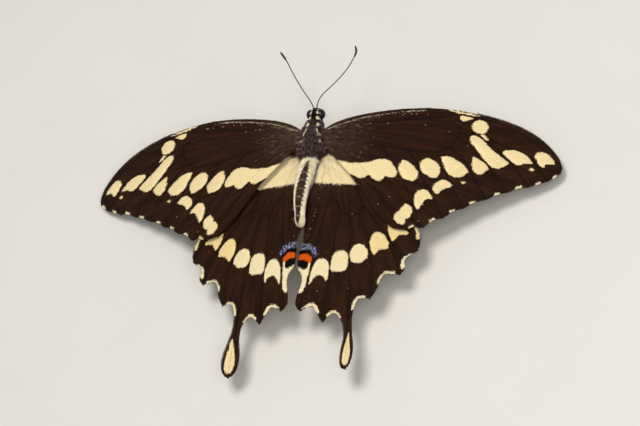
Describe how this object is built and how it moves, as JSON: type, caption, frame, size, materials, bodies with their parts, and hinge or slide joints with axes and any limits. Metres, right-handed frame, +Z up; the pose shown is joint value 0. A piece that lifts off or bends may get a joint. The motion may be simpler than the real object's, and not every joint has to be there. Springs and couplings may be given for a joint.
{
  "type": "swallowtail butterfly",
  "caption": "Life-size still model of a giant swallowtail butterfly standing on its feet with its wings spread flat, tails trailing.",
  "frame": {"origin": "on the floor, under the middle of the whole outline from feelers to tails and from wing tip to wing tip", "axes": "+X to the animal's own right, along the wing span; +Y forward, the way the head faces; +Z up"},
  "size_m": [0.1302, 0.0895, 0.0191],
  "materials": {
    "wing_scales": "matte",
    "body_fur": "matte",
    "abdomen_fur": "matte",
    "eye": "gloss",
    "horn": "satin"
  },
  "bodies": {
    "root": {"head": "body_fur", "thorax": "body_fur", "abdomen": "abdomen_fur", "eye_right": "eye", "eye_left": "eye", "antenna_right": "horn", "antenna_left": "horn", "palp_right": "body_fur", "palp_left": "body_fur", "proboscis": "horn", "forewing_right": "wing_scales", "forewing_left": "wing_scales", "hindwing_right": "wing_scales", "hindwing_left": "wing_scales", "leg_front_right": "horn", "leg_front_left": "horn", "leg_middle_right": "horn", "leg_middle_left": "horn", "leg_hind_right": "horn", "leg_hind_left": "horn"}
  },
  "joints": []
}
